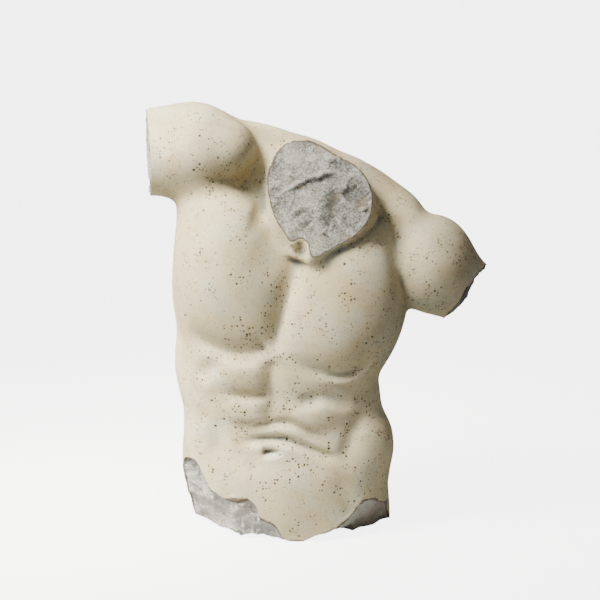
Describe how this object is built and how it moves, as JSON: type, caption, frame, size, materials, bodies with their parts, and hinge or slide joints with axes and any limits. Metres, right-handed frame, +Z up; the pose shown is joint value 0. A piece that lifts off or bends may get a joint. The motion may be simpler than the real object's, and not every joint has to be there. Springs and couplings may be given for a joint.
{
  "type": "resin male torso sculpture",
  "caption": "Headless, armless male torso cast in pale stone-like resin, broken at neck, arms and foot, standing on a flat underside.",
  "frame": {"origin": "middle of the flat foot, on the surface the torso stands on", "axes": "+Z up; the chest faces -Y; the raised arm stump points to -X and the low one to +X"},
  "size_m": [0.3039, 0.1338, 0.3801],
  "materials": {
    "cast_resin": "matt, like travertine, with fine pores; grey broken stone at the neck, arms and foot"
  },
  "bodies": {
    "root": {"torso": "cast_resin"}
  },
  "joints": []
}
